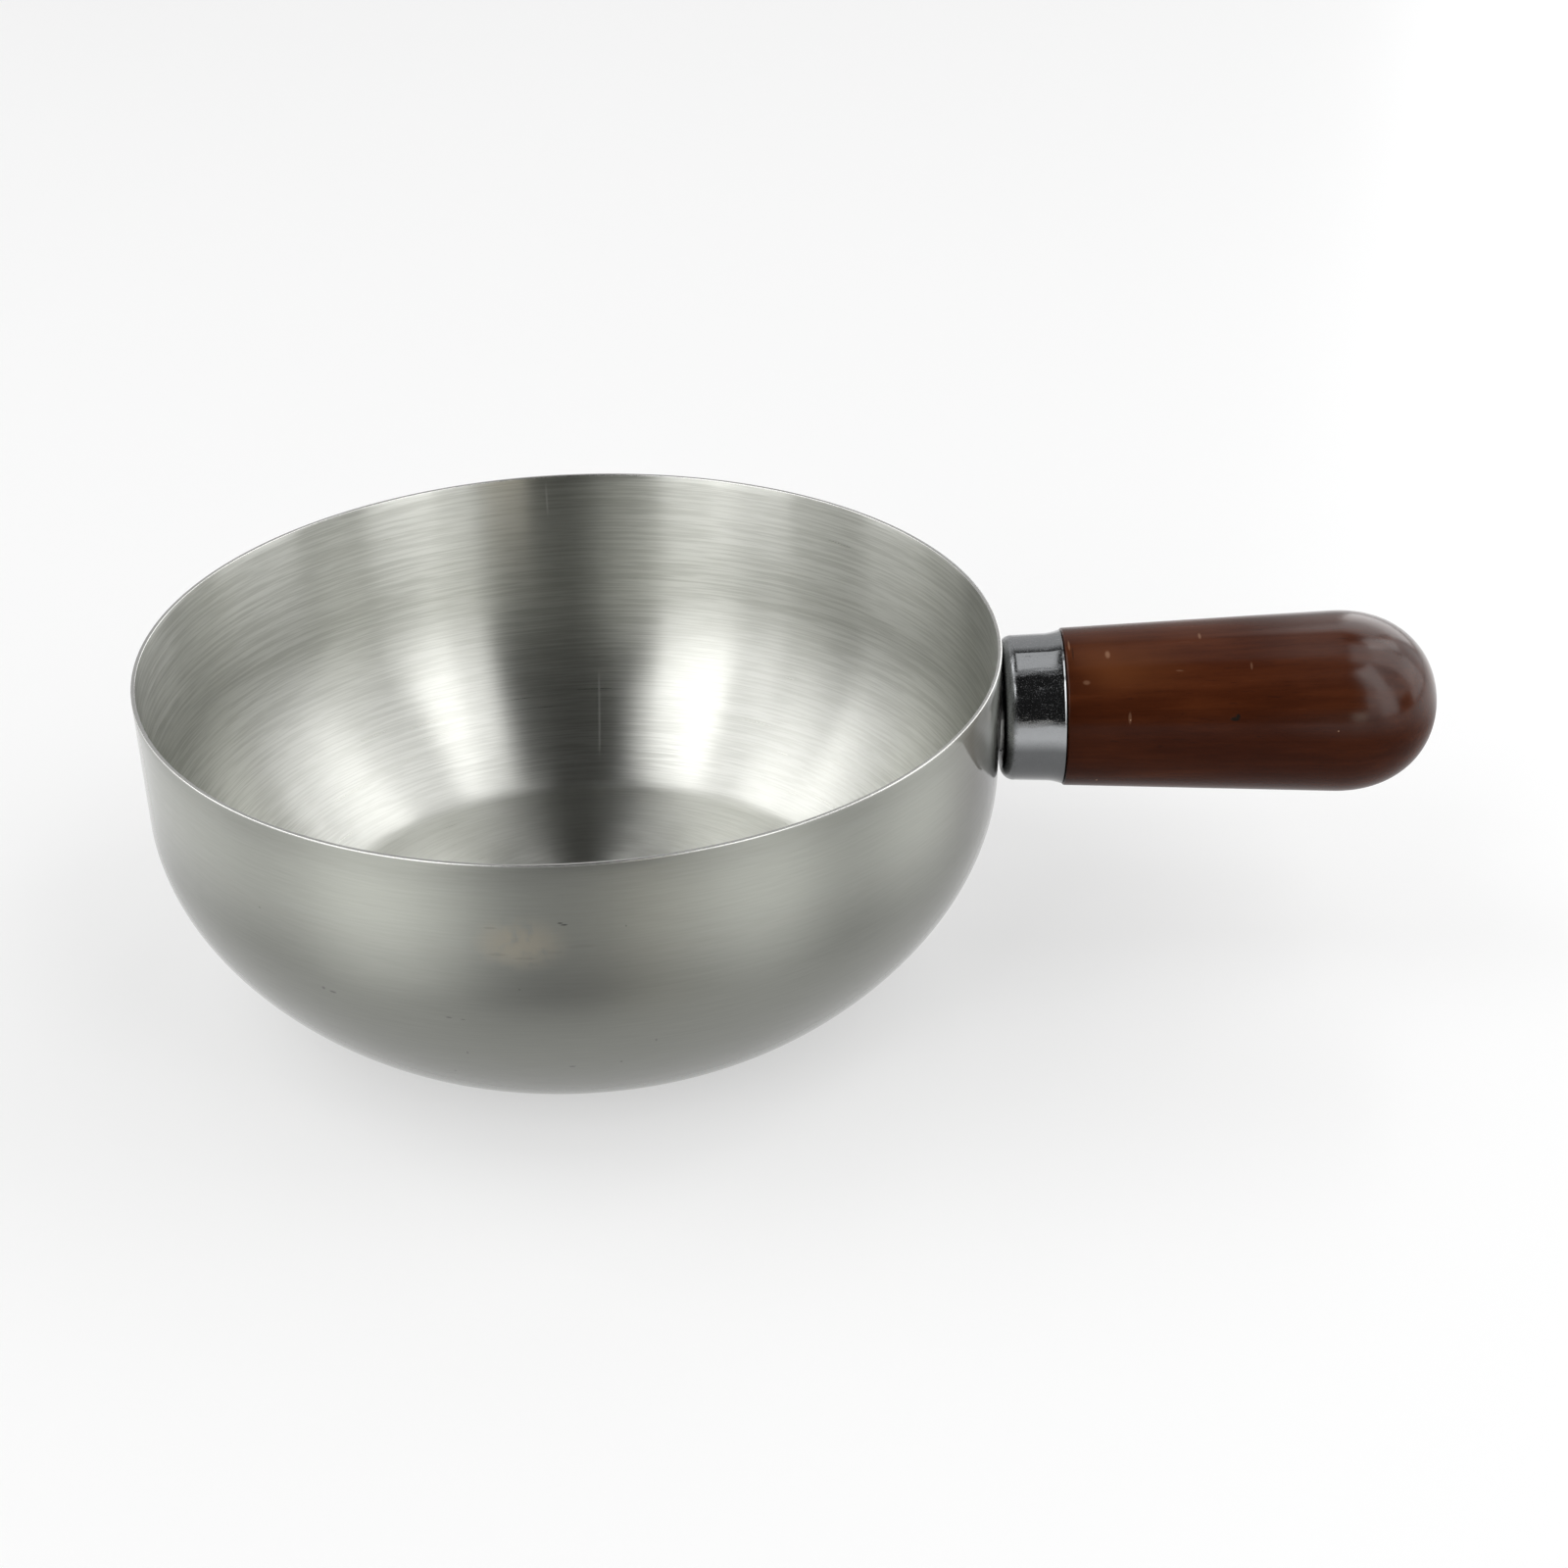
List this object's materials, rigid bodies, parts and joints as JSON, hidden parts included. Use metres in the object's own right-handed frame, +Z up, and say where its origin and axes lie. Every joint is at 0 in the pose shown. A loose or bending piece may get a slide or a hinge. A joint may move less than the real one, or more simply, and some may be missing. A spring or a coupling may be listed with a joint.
{
  "type": "saucepan",
  "caption": "Small round-bellied saucepan of thin satin steel with a flat base, a bright cup ferrule and a short turned wooden side grip.",
  "frame": {"origin": "centre of the flat base, on the surface that the pot stands on", "axes": "+Z up along the bowl's axis, +X out along the handle"},
  "size_m": [0.2718, 0.18, 0.072],
  "materials": {
    "bowl_steel": "satin, brushed round the axis",
    "ferrule_chrome": "mirror bright",
    "hardware_steel": "plain turned",
    "insert_brass": "plain turned",
    "grip_wood": "red-brown stain under satin lacquer"
  },
  "bodies": {
    "root": {"bowl": "bowl_steel", "weld_stud": "hardware_steel", "ferrule": "ferrule_chrome", "flat_washer": "hardware_steel", "spring_washer": "hardware_steel", "hex_nut": "hardware_steel", "threaded_insert": "insert_brass", "grip": "grip_wood"}
  },
  "joints": []
}
